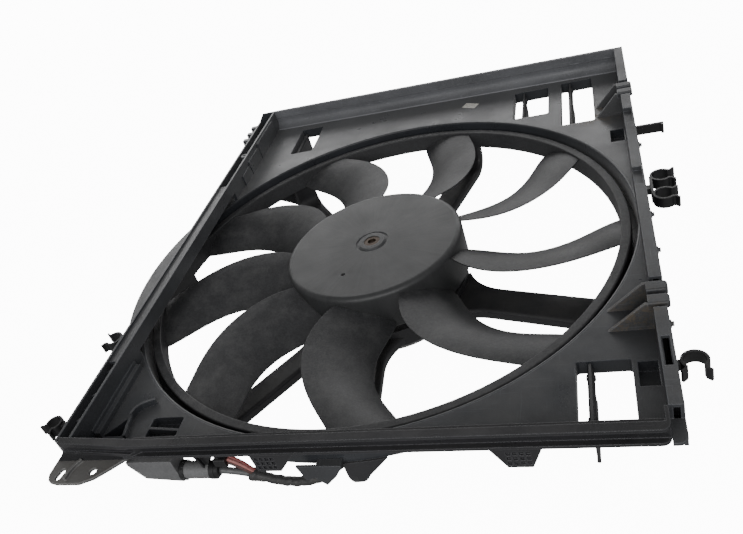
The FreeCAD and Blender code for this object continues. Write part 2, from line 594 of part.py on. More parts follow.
def stator_arms():
    """Six arms that carry the motor, each with a webbed foot that reaches up to the collar."""
    arms = []
    for angle, width in ARMS:
        half, web_low = width / 2, ARM_Z[0] + ARM_BEND_R - 8
        outline = [(half - 4, COLLAR_BOTTOM), (half - 4, web_low), (half, web_low),
                   (half + FOOT_SLOPE, COLLAR_BOTTOM)]
        web = bar_along_x(outline, FOOT_IN, ARM_OUT).cut(rod(COLLAR_R - 0.5, 0, FACE))
        arm = joined([arm_root(width), arm_bar(width), web]).cut(rod(MOUNT_OUT, 0, FACE))
        arms.append(spun(arm.common(rod(ARM_OUT, 0, FACE)), angle))
    return arms


def motor_mount_ring():
    """The ring that the arms meet, with three screw lugs."""
    ring = tube(MOUNT_IN, MOUNT_OUT, *MOUNT_Z)
    for angle in SCREW_ANGLES:
        ring = ring.cut(spun(rod(2.1, MOUNT_Z[0] - 1, MOUNT_Z[1] + 1, 77.5), angle))
    gland_x, gland_z = LEAD_ROUTE[0][0], LEAD_ROUTE[0][2]
    way_out = box(gland_x - 10, gland_x + 10, -MOUNT_OUT - 1, -MOUNT_IN + 4, gland_z - 10, MOUNT_Z[1] + 1)
    return ring.cut(way_out)


def fan_hub():
    """Cup-shaped hub: a flat front with a raised boss round the shaft, and stiffening ribs inside."""
    cup = rod(HUB_R, HUB_BOTTOM, HUB_TOP)
    cup = rounded(cup, HUB_EDGE_R, lambda c, e: c.z > HUB_TOP - 0.1 and e.Length > 100)
    cup = cup.cut(rod(HUB_R - HUB_WALL, HUB_BOTTOM - 1, BELL_TOP))
    boss = tube(INSERT_R, BOSS_R, HUB_TOP - 0.5, HUB_TOP + 0.9)
    cup = cup.cut(tube(BOSS_R + 1.0, BOSS_R + 3.2, HUB_TOP - 0.8, HUB_TOP + 1))
    cup = joined([cup, boss]).cut(rod(INSERT_R, BELL_TOP - 1, HUB_TOP + 2))
    cup = cup.cut(rod(2.2, BELL_TOP - 1, HUB_TOP + 1, -19.0, -48.6))
    ribs = []
    for index in range(12):
        rib = box(BELL_R + 2.0, HUB_R - 1, -1.0, 1.0, HUB_BOTTOM + 6, BELL_TOP + 1)
        ribs.append(spun(rib, index * 30.0))
    return joined([cup] + ribs)


def blade_section(radius, lead, trail, lead_z, trail_z):
    """Closed outline of a blade, in the plane square to the radius through its middle."""
    middle = math.radians((lead + trail) / 2)
    half_chord = radius * math.tan(math.radians((trail - lead) / 2))

    def point(along, side):
        offset = along * half_chord
        bow = 1 - along * along
        height = (lead_z + trail_z) / 2 + along * (trail_z - lead_z) / 2 + BLADE_CAMBER * bow
        thickness = BLADE_EDGE + (BLADE_MIDDLE - BLADE_EDGE) * bow
        return V(radius * math.cos(middle) - offset * math.sin(middle),
                 radius * math.sin(middle) + offset * math.cos(middle), height + side * thickness)

    steps = (-1.0, -0.5, 0.0, 0.5, 1.0)
    upper, lower = Part.BSplineCurve(), Part.BSplineCurve()
    upper.interpolate([point(step, 1) for step in steps])
    lower.interpolate([point(step, -1) for step in reversed(steps)])
    trailing = Part.makeLine(point(1, 1), point(1, -1))
    leading = Part.makeLine(point(-1, -1), point(-1, 1))
    return Part.Wire([upper.toShape(), trailing, lower.toShape(), leading])


def fan_blades():
    """Nine swept blades, trimmed to bite a little into the hub and the ring."""
    blank = Part.makeLoft([blade_section(*station) for station in BLADE_STATIONS], True, False)
    blade = blank.common(tube(HUB_R - BLADE_BITE, RING_IN + BLADE_BITE, HUB_BOTTOM - 5, FACE + 5))
    return [spun(blade, FIRST_BLADE + index * 360.0 / BLADES) for index in range(BLADES)]


def fan_ring():
    """Ring that ties the blade tips, with a flange that runs close inside the collar."""
    lip_r, under, lip_bottom = FLANGE_R - 1.8, FLANGE_TOP - 3, FLANGE_TOP - 7
    ring = lathe([(RING_IN, RING_BOTTOM), (RING_OUT, RING_BOTTOM), (RING_OUT, under), (lip_r, under),
                  (lip_r, lip_bottom), (FLANGE_R, lip_bottom), (FLANGE_R, FLANGE_TOP), (RING_IN, FLANGE_TOP)])
    return rounded(ring, 1.2, lambda c, e: c.z > FLANGE_TOP - 0.1 and e.Length > 100)


def rotor_bell():
    """Steel cup under the hub that holds the magnets and turns on the shaft."""
    bell = rod(BELL_R, BELL_BOTTOM, BELL_TOP)
    bell = bell.cut(rod(BELL_R - BELL_WALL, BELL_BOTTOM - 1, BELL_TOP - BELL_WALL))
    return bell.cut(rod(INSERT_R, BELL_BOTTOM, BELL_TOP + 1))


def rotor_magnets():
    ring = tube(MAGNET_R, BELL_R - BELL_WALL, *MAGNET_Z)
    for index in range(MAGNETS):
        ring = ring.cut(spun(box(0, BELL_R, -0.6, 0.6, *MAGNET_Z), index * 360.0 / MAGNETS))
    return ring.Solids


def stator_core():
    """Laminated core: a ring with twelve teeth, each with a wide tip."""
    shapes = [tube(TUBE_OUT, 24.0, *CORE_Z)]
    for index in range(TEETH):
        tooth = box(22.0, CORE_R - 2.0, -3.0, 3.0, *CORE_Z)
        tip = tube(CORE_R - 3.5, CORE_R, *CORE_Z).common(box(0, BELL_R, -10.5, 10.5, *CORE_Z))
        shapes.append(spun(tooth.fuse(tip), index * 360.0 / TEETH))
    return joined(shapes)


def stator_windings():
    """One coil of copper wire round each tooth."""
    coils = []
    low, high = CORE_Z[0] - 2.2, CORE_Z[1] + 2.2
    for index in range(TEETH):
        coil = box(28.0, CORE_R - 5.0, -5.6, 5.6, low, high)
        coil = coil.cut(box(27.0, CORE_R, -3.1, 3.1, CORE_Z[0] - 0.1, CORE_Z[1] + 0.1))
        coil = rounded(coil, 1.6, lambda c, e: e.BoundBox.XLength > 15 and abs(c.y) > 5)
        coils.append(spun(coil, index * 360.0 / TEETH))
    return coils


def motor_base():
    """Cast base: a disc with the bearing tube and three screw ears."""
    disc = rod(BASE_R, *BASE_Z)
    bearing_tube = rod(TUBE_OUT, REAR_BEARING_Z - 2.0, TUBE_TOP)
    ears = []
    for angle in SCREW_ANGLES:
        ear = box(BASE_R - 2, 77.5, -5.0, 5.0, MOUNT_Z[1], BASE_Z[1])
        ear = ear.fuse(rod(5.0, MOUNT_Z[1], BASE_Z[1], 77.5))
        ears.append(spun(ear.cut(rod(2.3, 0, FACE, 77.5)), angle))
    skirt = tube(BASE_R - 3.0, BASE_R, FACE - 50.0, BASE_Z[0] + 1)
    shape = joined([disc, bearing_tube, skirt] + ears)
    shape = shape.cut(rod(SHAFT_R + 1.5, 0, FACE))
    shape = shape.cut(rod(TUBE_IN, FRONT_BEARING_Z, FACE))
    return shape.cut(rod(TUBE_IN, 0, REAR_BEARING_Z + BEARING_H))


def motor_case():
    """Closed rear case of the motor with cooling fins; its flat rear face is the part's floor."""
    case = rod(CASE_R, 0.0, BASE_Z[0] - 6.2)
    case = rounded(case, 3.0, lambda c, e: c.z < 0.1 and e.Length > 100)
    case = case.cut(rod(CASE_R - CASE_WALL, 8.0, FACE))
    rim = tube(CASE_R - CASE_WALL, BASE_R - 3.1, FACE - 56.0, BASE_Z[0] - 0.1)
    for index in range(24):
        slot = box(30.0, CASE_R - 5.0, -1.6, 1.6, -1.0, 5.0)
        case = case.cut(spun(slot, index * 15.0))
    return case.fuse(rim)


def circuit_board():
    """Motor controller: board with six power transistors, two capacitors and a choke."""
    board = rod(CASE_R - CASE_WALL - 3, *BOARD_Z)
    low, high = BOARD_Z
    parts = [board]
    for index in range(6):
        transistor = box(38.0, 52.0, -5.0, 5.0, low - 4.5, low)
        parts.append(spun(transistor, index * 60.0))
    for x, y in ((-16.0, -10.0), (-16.0, 14.0)):
        parts.append(rod(8.0, low - 13.0, low, x, y))
    parts.append(tube(4.0, 9.0, low - 10.0, low, 18.0, 0.0))
    return joined(parts)


def bearing(z0):
    """Ball bearing, drawn as one ring; the shaft turns in its bore."""
    ring = tube(SHAFT_R + 0.05, TUBE_IN, z0, z0 + BEARING_H)
    groove = tube(SHAFT_R + 1.6, TUBE_IN - 1.6, z0 + BEARING_H - 0.7, z0 + BEARING_H + 1)
    return ring.cut(groove).cut(moved(groove, 0, 0, -BEARING_H - 0.3))


def motor_screws():
    screws = []
    for angle in SCREW_ANGLES:
        head = rod(4.2, BASE_Z[1], BASE_Z[1] + 3.0, 77.5)
        socket = rod(2.0, BASE_Z[1] + 1.2, BASE_Z[1] + 4, 77.5)
        screws.append(spun(head.cut(socket).fuse(rod(2.0, MOUNT_Z[0] + 2, BASE_Z[1] + 0.5, 77.5)), angle))
    return screws


def lead_path(points):
    """Straight runs joined by tangent arcs, as one wire; prints each arc's radius."""
    corners = [V(*point) for point in points]
    edges = []
    start = corners[0]
    for before, corner, after in zip(corners, corners[1:], corners[2:]):
        into, out = corner - before, after - corner
        run = min(into.Length, out.Length)
        half_turn = into.getAngle(out) / 2
        radius = 0.45 * run / math.tan(half_turn)
        into.normalize()
        out.normalize()
        first, last = corner - into * 0.45 * run, corner + out * 0.45 * run
        bisector = (out - into).normalize()
        middle = corner + bisector * radius * (1 / math.cos(half_turn) - 1)
        edges.append(Part.LineSegment(start, first).toShape())
        edges.append(Part.Arc(first, middle, last).toShape())
        start = last
        print("arc radius", round(radius, 1))
    edges.append(Part.LineSegment(start, corners[-1]).toShape())
    return Part.Wire(edges)


def cable(points, radius):
    path = lead_path(points)
    heading = V(*points[1]) - V(*points[0])
    profile = Part.Wire(Part.makeCircle(radius, V(*points[0]), heading))
    solid = path.makePipeShell([profile], True, False)
    expected = math.pi * radius ** 2 * path.Length
    print("cable volume over section times length", round(solid.Volume / expected, 4), "length", path.Length)
    return solid


def power_wires():
    return [cable(list(points), WIRE_R) for points in zip(WIRE_STARTS, WIRE_BENDS, WIRE_ENDS)]


def cable_gland():
    """Rubber grommet where the lead enters the motor case."""
    start, following = V(*LEAD_ROUTE[0]), V(*LEAD_ROUTE[1])
    heading = (start - following).normalize()
    gland = Part.makeCone(LEAD_R + 1.0, LEAD_R + 2.6, 9.0, start, heading)
    return gland.cut(rod(BASE_R, 0, FACE))


def plug_housing():
    """Carrier for the plug: a tapered box with rounded lower edges, hung from the panel by two webs."""
    x0, x1 = HOUSING_X
    top = PLUG_Z + 19
    front, back = PLUG_Y - 7.4, PLUG_Y + 6.8
    side = [(x0, top), (x0, PLUG_Z + 15), (x0 + 9, PLUG_Z), (x0 + 13, PLUG_Z - 4.5), (x1, PLUG_Z - 7.7),
            (x1, top)]
    body = bar_along_y(side, front, back)
    body = rounded(body, 4.0, lambda c, e: e.BoundBox.XLength > 20 and c.z < PLUG_Z)
    body = body.cut(Part.makeCylinder(PLUG_R - 0.9, 30, V(x1 - PLUG_DEPTH - 1, PLUG_Y, PLUG_Z), X_AXIS))
    web_back = LATCH_WINDOW[2] - SKIRT - 0.2
    webs = [box(x, x + 2.5, PLUG_Y - 2, web_back, top - 1, BACK) for x in (x0 + 12, x1 - 5)]
    return joined([body] + webs)


def plug_collar():
    """Locking collar of the plug, with grip ribs."""
    length = PLUG_X[0] - HOUSING_X[1]
    outer = PLUG_R + 1.2
    collar_ring = Part.makeCylinder(outer, length, V(HOUSING_X[1], PLUG_Y, PLUG_Z), X_AXIS)
    for index in range(12):
        angle = math.radians(index * 30.0)
        groove_y = PLUG_Y + (outer + 0.5) * math.cos(angle)
        groove_z = PLUG_Z + (outer + 0.5) * math.sin(angle)
        groove = Part.makeCylinder(1.0, length, V(HOUSING_X[1] + 2, groove_y, groove_z), X_AXIS)
        collar_ring = collar_ring.cut(groove)
    bore = Part.makeCylinder(PLUG_R - 0.9, length + 2, V(HOUSING_X[1] - 1, PLUG_Y, PLUG_Z), X_AXIS)
    return collar_ring.cut(bore)


def plug_body():
    """The lead's plug: a nose pushed into the housing and a wider body behind it."""
    start = HOUSING_X[1] - PLUG_DEPTH
    nose = Part.makeCylinder(PLUG_R - 1.0, PLUG_X[0] + 1 - start, V(start, PLUG_Y, PLUG_Z), X_AXIS)
    body = Part.makeCylinder(PLUG_BODY_R, PLUG_X[1] - PLUG_X[0], V(PLUG_X[0], PLUG_Y, PLUG_Z), X_AXIS)
    return joined([nose, body])


def wire_plug():
    """Small connector above the plug's seal, where the two power wires go in, and its hanger."""
    x0, x1 = WIRE_PLUG_X
    low, high = WIRE_PLUG_Z
    block = box(x0, x1, PLUG_Y - 5, PLUG_Y + 5.5, low, high)
    block = rounded(block, 2.0, lambda c, e: e.BoundBox.XLength > 5)
    hanger = box(x0 + 1, x0 + 4, PLUG_Y - 2.5, PLUG_Y + 5, high - 1, BACK)
    return joined([block, hanger])


def plug_latch():
    """Sprung lever over the plug: a dark block with a thin slanting stay on its near face."""
    plug_top = PLUG_Z + PLUG_BODY_R
    x0, x1 = -108.0, PLUG_X[1] - 0.5
    block_outline = [(x0, BACK), (x1 + 6, BACK), (x1 + 6, BACK - 9), (x1, plug_top - 1),
                     (x0 + 6, plug_top - 1), (x0, BACK - 10)]
    stay_outline = [(x0 + 1.6, BACK), (x0 + 3.6, BACK), (x0 + 8.8, plug_top - 3), (x0 + 7.2, plug_top - 3)]
    block = bar_along_y(block_outline, PLUG_Y - 1, PLUG_Y + 5)
    stay = bar_along_y(stay_outline, PLUG_Y - 3.6, PLUG_Y - 0.5)
    bore = Part.makeCylinder(PLUG_BODY_R, 60, V(x0 - 20, PLUG_Y, PLUG_Z), X_AXIS)
    return joined([block, stay]).cut(bore)


def plug_seal():
    """Rubber boot at the back of the plug, round the lead."""
    boot = Part.makeCylinder(PLUG_R + 0.6, 4.5, V(PLUG_X[1], PLUG_Y, PLUG_Z), X_AXIS)
    nose_start = PLUG_X[1] + 4.5
    nose = Part.makeCone(PLUG_R, LEAD_R + 1.0, SEAL_END - nose_start, V(nose_start, PLUG_Y, PLUG_Z), X_AXIS)
    return joined([boot, nose])


def lead_clip():
    """Clip under the collar that holds the lead, with a thin web beside it."""
    front, top = -249.0, FACE - 21
    outline = [(-3.4, top), (16.8, top), (16.8, FACE - 23), (10.3, FACE - 32.6), (-0.5, FACE - 43),
               (-7.1, FACE - 35.8)]
    arch = bar_along_y(outline, front, -240.0)
    arch = arch.cut(box(-10, 11, front + 2, -230.0, FACE - 45, COLLAR_BOTTOM - 1.5))
    web = bar_along_y([(-19.4, top), (-2, top), (-7.1, FACE - 34), (-15.5, FACE - 37)], front, front + 2)
    return joined([arch, web]).cut(rod(COLLAR_OUT, COLLAR_BOTTOM - 1, FACE))


def clip_ring(centre, z0, z1, opening, radius):
    """An open ring with bent-out lips; opening is the direction of its mouth in degrees."""
    x, y = centre
    ring = tube(radius, radius + CLIP_SHEET, z0, z1)
    half = math.radians(CLIP_SPREAD)
    reach_x, reach_y = 3 * radius * math.cos(half), 3 * radius * math.sin(half)
    mouth = slab([(0, 0), (reach_x, -reach_y), (reach_x, reach_y)], z0 - 1, z1 + 1)
    pieces = [ring.cut(mouth)]
    middle_r = radius + CLIP_SHEET / 2
    for side in (-1, 1):
        edge_x, edge_y = middle_r * math.cos(half), side * middle_r * math.sin(half)
        lip = [(edge_x - 0.8, edge_y), (edge_x + 2.0, edge_y + side * 0.6),
               (edge_x + 4.5, edge_y + side * 3.4)]
        pieces.append(ribbon(lip, CLIP_SHEET, z0, z1))
    open_ring = joined(pieces).cut(rod(radius, z0 - 1, z1 + 1))
    return moved(spun(open_ring, opening), x, y, 0)


def single_clip(centre, wall_x, height, opening, radius):
    """One clip ring on a stem from the wall."""
    x, y = centre
    z0, z1 = height
    way = 1 if x > wall_x else -1
    reach = x - way * (radius + 0.6)
    stem = box(min(wall_x, reach), max(wall_x, reach), y - 2.4, y + 2.4, z0 + 2, z1 - 2)
    return joined([stem, clip_ring(centre, z0, z1, opening, radius)])


def double_clip():
    """Two rings in a row that share a stem, both open outwards."""
    z0, z1 = FACE - 4, FACE + 6
    rings = [clip_ring((263.0, y), z0, z1, 0.0, DOUBLE_CLIP_R) for y in (13.0, 43.0)]
    bridge = box(RIGHT, 253.5, 24.5, 31.5, z0 + 2, z1 - 2)
    spine = box(252.6, 255.0, 14.0, 42.0, z0, z1)
    return joined(rings + [bridge, spine])


def paddle_clip():
    """Flat sprung tongue on the right wall, near the far corner."""
    tongue = box(RIGHT, 275.0, 145.0, 147.5, FACE - 8, FACE + 2)
    stem = box(RIGHT, 256.0, 143.0, 149.5, FACE - 6, FACE)
    lip = box(272.5, 275.0, 142.0, 147.5, FACE - 8, FACE + 2)
    return joined([tongue, stem, lip])


def build():
    os.makedirs("parts", exist_ok=True)
    save("panel_face", panel_face())
    save("collar", collar())
    save("collar_lip", collar_lip())
    save("near_wall", near_wall())
    save("far_wall", far_wall())
    save("right_wall", right_wall())
    save("left_channel", left_channel())
    save("mounting_ear", mounting_ear())
    save("near_tabs", *near_tabs())
    save("hook_gussets", *hook_gussets())
    save("hooks", *hooks())
    save("snap_pegs", *snap_pegs())
    save("latch_rib", latch_rib())
    save("flap_sockets", *flap_sockets())
    for name in FLAP_WINDOW:
        save("flap_" + name, flap(name))
    save("stator_arms", *stator_arms())
    save("motor_mount_ring", motor_mount_ring())
    save("fan_hub", fan_hub())
    save("fan_blades", *fan_blades())
    save("fan_ring", fan_ring())
    save("hub_insert", tube(SHAFT_R, INSERT_R, BELL_TOP - 5, HUB_TOP + 0.4))
    save("motor_shaft", rod(SHAFT_R, SHAFT_BOTTOM, SHAFT_TOP))
    save("rotor_bell", rotor_bell())
    save("rotor_magnets", *rotor_magnets())
    save("stator_core", stator_core())
    save("stator_windings", *stator_windings())
    save("motor_base", motor_base())
    save("motor_case", motor_case())
    save("circuit_board", circuit_board())
    save("front_bearing", bearing(FRONT_BEARING_Z))
    save("rear_bearing", bearing(REAR_BEARING_Z))
    save("motor_screws", *motor_screws())
    save("cable_gland", cable_gland())
    save("motor_lead", cable(LEAD_ROUTE, LEAD_R))
    save("power_wires", *power_wires())
    save("plug_housing", plug_housing())
    save("plug_collar", plug_collar())
    save("plug_body", plug_body())
    save("plug_seal", plug_seal())
    save("plug_latch", plug_latch())
    save("wire_plug", wire_plug())
    save("lead_clip", lead_clip())
    right_clip_z = (FACE - 4, FACE + 6)
    save("hose_clip_near_right", single_clip((260.3, -189), RIGHT, right_clip_z, -90, NEAR_RIGHT_CLIP_R))
    save("hose_clip_double", double_clip())
    save("hose_clip_paddle", paddle_clip())
    left_clip_z = (FACE + 3, FACE + 12)
    save("hose_clip_left_middle", single_clip((-238, -118), LEFT, left_clip_z, 185, LEFT_MIDDLE_CLIP_R))
    save("hose_clip_left_near", single_clip((-243, -223.5), LEFT, left_clip_z, -120, LEFT_NEAR_CLIP_R))
    save("blank_label", moved(spun(box(-9.0, 9.0, -5.5, 5.5, FACE, FACE + 0.2), -27.0), 72.0, 273.0, 0.0))


build()
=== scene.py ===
"""Radiator fan shroud: finishes, motor lead, wires, floor, light and camera.

Metres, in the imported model's frame: the fan turns about Z, and +Z faces the radiator.
"""
import bpy
import math
from mathutils import Matrix, Vector


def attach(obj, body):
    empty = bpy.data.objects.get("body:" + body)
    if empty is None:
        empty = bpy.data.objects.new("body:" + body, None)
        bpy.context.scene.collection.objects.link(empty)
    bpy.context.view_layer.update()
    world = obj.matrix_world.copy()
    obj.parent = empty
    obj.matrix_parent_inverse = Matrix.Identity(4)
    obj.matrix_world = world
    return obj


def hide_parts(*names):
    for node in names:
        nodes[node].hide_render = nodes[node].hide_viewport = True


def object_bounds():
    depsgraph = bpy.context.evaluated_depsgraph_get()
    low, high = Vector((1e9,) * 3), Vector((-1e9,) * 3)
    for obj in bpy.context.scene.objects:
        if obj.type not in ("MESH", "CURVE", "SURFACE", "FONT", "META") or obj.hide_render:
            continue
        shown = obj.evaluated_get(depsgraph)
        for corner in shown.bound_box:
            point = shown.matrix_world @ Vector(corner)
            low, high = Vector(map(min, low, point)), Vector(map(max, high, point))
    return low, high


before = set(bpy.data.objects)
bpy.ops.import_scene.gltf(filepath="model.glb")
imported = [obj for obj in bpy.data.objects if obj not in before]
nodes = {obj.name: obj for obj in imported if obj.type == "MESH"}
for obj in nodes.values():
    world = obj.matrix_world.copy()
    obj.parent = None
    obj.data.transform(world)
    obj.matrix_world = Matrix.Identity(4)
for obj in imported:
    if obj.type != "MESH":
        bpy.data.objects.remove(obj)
cad_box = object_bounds()

# Camera, fitted to the photograph
CAMERA_AT = Vector((0.22529, -0.57236, 0.46539))
CAMERA_RIGHT = Vector((0.92499, 0.22308, -0.30761))
CAMERA_DOWN = Vector((-0.10978, -0.61815, -0.77836))
CAMERA_FORWARD = Vector((-0.36378, 0.75375, -0.54729))
SENSOR = 36.0                        # millimetres, as is LENS
LENS = 36.04
SHIFT = (0.0500, 0.0108)
NEAREST_SEEN = 0.01

# Motor lead, along the route of its CAD tube
LEAD_ROUTE = [
    (0.0070, -0.0790, 0.0350),
    (0.0080, -0.1040, 0.0356),
    (0.0105, -0.1310, 0.0362),
    (0.0140, -0.1580, 0.0370),
    (0.0165, -0.1820, 0.0385),
    (0.0160, -0.2040, 0.0405),
    (0.0120, -0.2220, 0.0410),
    (0.0030, -0.2360, 0.0385),
    (-0.0120, -0.2425, 0.0355),
    (-0.0300, -0.2430, 0.0336),
    (-0.0460, -0.2430, 0.0368),
    (-0.0610, -0.2430, 0.0434),
    (-0.0750, -0.2430, 0.0478),
    (-0.0900, -0.2430, 0.0496),
]
LEAD_R = 0.0041
SLEEVE_R = 0.0029
SLEEVE_ENDS_X = -0.066               # the tape ends here, and the grey sleeve runs on to the plug
SLEEVE_LAP = 0.006                   # length of sleeve inside the tape
TAPE_PITCH = 0.0095
TAPE_STEP = 0.00055                  # how far each turn of tape stands over the next
TAPE_RIPPLE = 0.00012
RIPPLES = 9                          # in each turn of tape
TAPE_MOUTH = 0.0016                  # how much thicker the tape is where it takes in the wires
MOUTH_BACK = 0.003                   # the tape is thickest this far before its end
MOUTH_REACH = 0.006

# Three wires, from the small plug into the end of the tape
WIRE_ROUTES = [
    [(-0.0780, -0.2410, 0.0636), (-0.0700, -0.2413, 0.0590),
     (-0.0620, -0.2422, 0.0494), (-0.0560, -0.2428, 0.0420)],
    [(-0.0780, -0.2446, 0.0608), (-0.0700, -0.2448, 0.0560),
     (-0.0620, -0.2448, 0.0474), (-0.0560, -0.2440, 0.0412)],
    [(-0.0780, -0.2436, 0.0632), (-0.0700, -0.2437, 0.0585),
     (-0.0620, -0.2436, 0.0486), (-0.0560, -0.2434, 0.0416)],
]
WIRE_R = 0.0015
WIRE_COLOURS = {
    "red": (0.34, 0.075, 0.07),
    "brown": (0.11, 0.05, 0.045),
    "pink": (0.50, 0.21, 0.19),
}

# Mesh of the lead and wires: points round each tube, and metres between its rings
LOOM_SIDES, LOOM_GAP = 28, 0.0011
SLEEVE_SIDES, SLEEVE_GAP = 24, 0.002
WIRE_SIDES, WIRE_GAP = 16, 0.002

# Finishes
GRAIN = 0.00012                      # height of the moulded grain
EDGE_TURN = 0.25                     # how sharply an edge has to turn to be fully paled, partly as worn plastic and partly as a painted highlight
FACES_UP = (0.35, 0.95)              # upward part of the normal: no dust below, full dust above
MUD_COLOUR = (0.125, 0.098, 0.066)
NEAR_MUD = (0.223, -0.150, 0.088)    # on the near gussets
FAR_MUD = (0.214, 0.190, 0.076)      # at the foot of the far gussets
MUD_REACH = (0.010, 0.034)           # mud is thickest within the first radius and ends at the second
HUB_RAYS = 14.0                      # how closely the hub's faint rays stand round it
HUB_RINGS = 3600.0                   # radians of ring pattern in each metre of radius
BOSS_RINGS = (0.013, 0.030)          # the rings fade out between these radii
HUB_RIM = (0.060, 0.082)             # the hub darkens below the second height, most at the first

# Floor, room and lamps: metres and watts
FLOOR_DROP = 0.0005                  # how far below the part it lies
FLOOR_GLOW = 12.0
FLOOR_RINGS = [(9.0, 0.0), (10.5, 0.3), (11.6, 1.2), (12.0, 2.6), (12.0, 9.0)]    # radius and height
FLOOR_TURNS = 48
ROOM_LIGHT = 0.29
FAR_LIGHT = {"place": (-0.5, 3.0, 1.2), "target": (0, 0, 0.1), "size": (5.5, 1.4), "power": 57.0}
NEAR_LIGHT = {"place": (0.2, -2.0, 1.1), "target": (0, 0, 0.08), "size": (2.5, 1.2), "power": 30.0}


class Shader:
    """A material with its nodes; each method adds a node and returns its output."""

    def __init__(self, name, colour, rough, metal=0.0):
        self.material = bpy.data.materials.new(name)
        self.material.use_nodes = True
        self.tree = self.material.node_tree
        self.surface = self.tree.nodes["Principled BSDF"]
        self.surface.inputs["Base Color"].default_value = (*colour, 1)
        self.surface.inputs["Roughness"].default_value = rough
        self.surface.inputs["Metallic"].default_value = metal
        self.place = self.add("ShaderNodeTexCoord").outputs["Object"]

    def add(self, kind, **settings):
        node = self.tree.nodes.new(kind)
        for key, value in settings.items():
            setattr(node, key, value)
        return node

    def link(self, source, target):
        self.tree.links.new(source, target)

    def stretched(self, scale, turn=(0, 0, 0)):
        mapping = self.add("ShaderNodeMapping")
        mapping.inputs["Scale"].default_value = scale
        mapping.inputs["Rotation"].default_value = turn
        self.link(self.place, mapping.inputs["Vector"])
        return mapping.outputs["Vector"]

    def noise(self, scale, detail=3.0, rough=0.55, place=None, distort=0.0):
        node = self.add("ShaderNodeTexNoise")
        node.inputs["Scale"].default_value = scale
        node.inputs["Detail"].default_value = detail
        node.inputs["Roughness"].default_value = rough
        node.inputs["Distortion"].default_value = distort
        self.link(place or self.place, node.inputs["Vector"])
        return node.outputs["Fac"]

    def cells(self, scale, feature="F1"):
        node = self.add("ShaderNodeTexVoronoi", feature=feature)
        node.inputs["Scale"].default_value = scale
        self.link(self.place, node.inputs["Vector"])
        return node.outputs["Distance"]

    def waves(self, scale, direction, distort=0.0):
        node = self.add("ShaderNodeTexWave", bands_direction=direction)
        node.inputs["Scale"].default_value = scale
        node.inputs["Distortion"].default_value = distort
        self.link(self.place, node.inputs["Vector"])
        return node.outputs["Fac"]

    def ranged(self, value, low, high, to_low=0.0, to_high=1.0):
        node = self.add("ShaderNodeMapRange")
        node.inputs["From Min"].default_value = low
        node.inputs["From Max"].default_value = high
        node.inputs["To Min"].default_value = to_low
        node.inputs["To Max"].default_value = to_high
        self.link(value, node.inputs["Value"])
        return node.outputs["Result"]

    def maths(self, operation, first, second):
        node = self.add("ShaderNodeMath", operation=operation)
        for value, socket in zip((first, second), node.inputs):
            if isinstance(value, (int, float)):
                socket.default_value = value
            else:
                self.link(value, socket)
        return node.outputs["Value"]

    def mixed(self, amount, first, second):
        node = self.add("ShaderNodeMix", data_type="RGBA")
        for value, socket in zip((amount, first, second), (node.inputs[0], node.inputs[6], node.inputs[7])):
            if isinstance(value, tuple):
                socket.default_value = (*value, 1)
            elif isinstance(value, (int, float)):
                socket.default_value = value
            else:
                self.link(value, socket)
        return node.outputs[2]

    def bump(self, height, distance, strength, under=None):
        node = self.add("ShaderNodeBump")
        node.inputs["Distance"].default_value = distance
        node.inputs["Strength"].default_value = strength
        self.link(height, node.inputs["Height"])
        if under is not None:
            self.link(under, node.inputs["Normal"])
        return node.outputs["Normal"]

    def soft_edges(self, radius):
        node = self.add("ShaderNodeBevel", samples=4)
        node.inputs["Radius"].default_value = radius
        return node.outputs["Normal"]

    def worn_and_highlit_edges(self, radius):
        """One on sharp edges, nought on flat stretches."""
        across = self.add("ShaderNodeVectorMath", operation="DOT_PRODUCT")
        self.link(self.soft_edges(radius), across.inputs[0])
        self.link(self.add("ShaderNodeNewGeometry").outputs["Normal"], across.inputs[1])
        return self.ranged(across.outputs["Value"], 1.0 - EDGE_TURN, 1.0, 1.0, 0.0)

    def upward(self):
        """One where the surface faces up, nought where it's upright or faces down."""
        parts = self.add("ShaderNodeSeparateXYZ")
        self.link(self.add("ShaderNodeNewGeometry").outputs["Normal"], parts.inputs["Vector"])
        return self.ranged(parts.outputs["Z"], *FACES_UP)

    def mud_round(self, place):
        """Dried mud in clumps round a place, thinning out over a few centimetres."""
        away = self.add("ShaderNodeVectorMath", operation="DISTANCE")
        away.inputs[1].default_value = place
        self.link(self.place, away.inputs[0])
        near = self.ranged(away.outputs["Value"], *MUD_REACH, 1.0, 0.0)
        clumps = self.ranged(self.noise(130.0, 8.0, 0.8, distort=0.5), 0.47, 0.60)
        return self.maths("MULTIPLY", self.maths("MULTIPLY", near, clumps), 0.95)

    def colour(self, value):
        self.link(value, self.surface.inputs["Base Color"])

    def rough(self, value):
        self.link(value, self.surface.inputs["Roughness"])

    def normal(self, value):
        self.link(value, self.surface.inputs["Normal"])


def tinted(colour, factor):
    return tuple(part * factor for part in colour)


